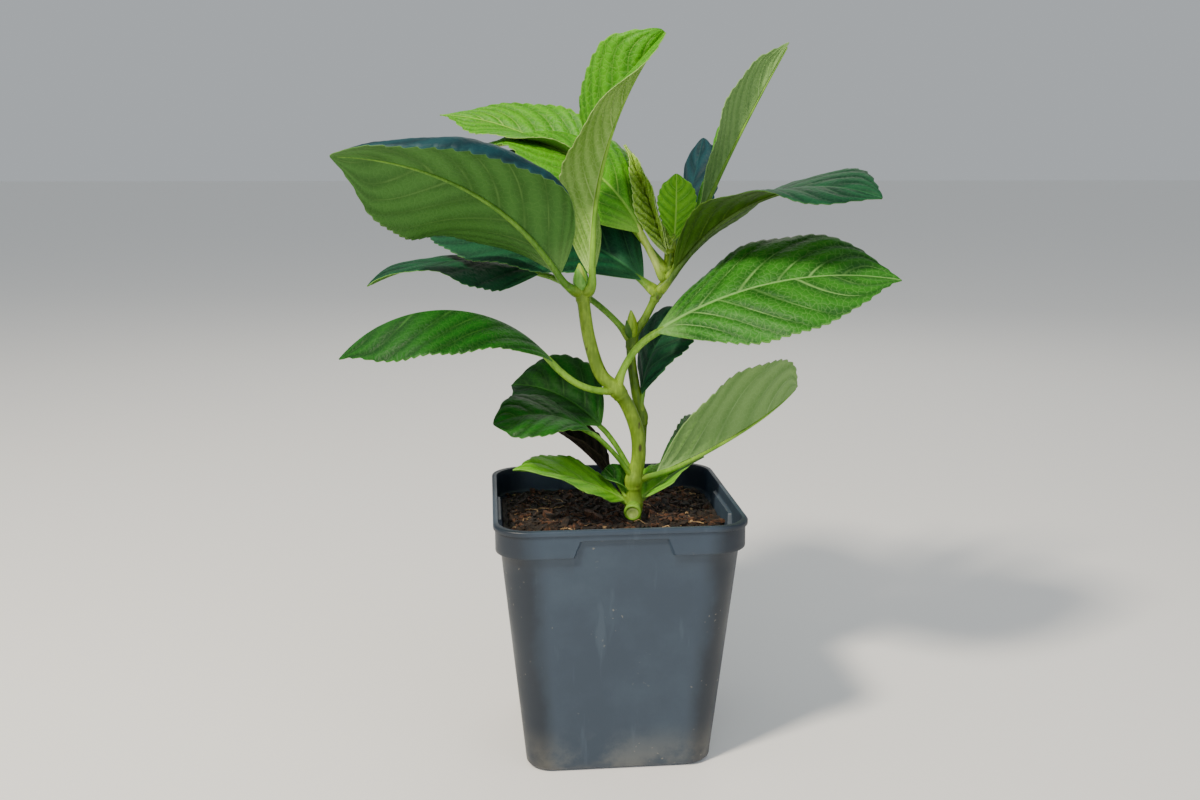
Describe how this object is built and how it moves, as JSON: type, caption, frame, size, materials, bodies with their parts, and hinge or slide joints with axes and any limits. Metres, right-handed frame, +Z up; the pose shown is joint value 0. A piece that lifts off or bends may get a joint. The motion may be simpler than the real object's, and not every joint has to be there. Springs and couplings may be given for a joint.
{
  "type": "young hydrangea shrub in a square nursery pot",
  "caption": "Young leafy hydrangea: a forked green stem with broad pointed leaves in opposite pairs, rooted in potting mix in a tapered square nursery pot with a stepped rim band.",
  "frame": {"origin": "middle of the pot's flat underside", "axes": "+Z up, +X to the right and +Y away as seen from the pictured side, square to the pot's sides"},
  "size_m": [0.1975, 0.1166, 0.2633],
  "materials": {
    "pot_plastic": "satin injection-moulded plastic, dusty",
    "potting_mix": "loose brown bark fibre and peat",
    "stem": "smooth green bark with fine brown specks",
    "leaf": "soft leaf sheen, paler beneath",
    "young_leaf": "bright yellow-green young leaf",
    "withered_leaf": "dry dark brown"
  },
  "bodies": {
    "root": {"pot": "pot_plastic", "potting_mix": "potting_mix", "main_stem": "stem", "right_shoot": "stem", "low_left_leaf": "leaf", "low_right_leaf": "leaf", "low_back_leaf": "leaf", "second_left_leaf": "leaf", "side_left_leaf": "leaf", "second_right_leaf": "leaf", "side_right_leaf": "leaf", "fork_left_leaf": "leaf", "fork_right_leaf": "leaf", "rear_left_leaf": "leaf", "broad_left_leaf": "leaf", "upright_leaf": "leaf", "right_shoot_left_leaf": "leaf", "right_shoot_right_leaf": "leaf", "top_left_leaf": "leaf", "top_right_leaf": "leaf", "top_rear_leaf": "leaf", "top_back_leaf": "leaf", "young_folded_leaf": "young_leaf", "young_round_leaf": "young_leaf", "tip_leaf": "young_leaf", "left_bud": "young_leaf", "right_bud": "young_leaf", "withered_leaf": "withered_leaf"}
  },
  "joints": []
}
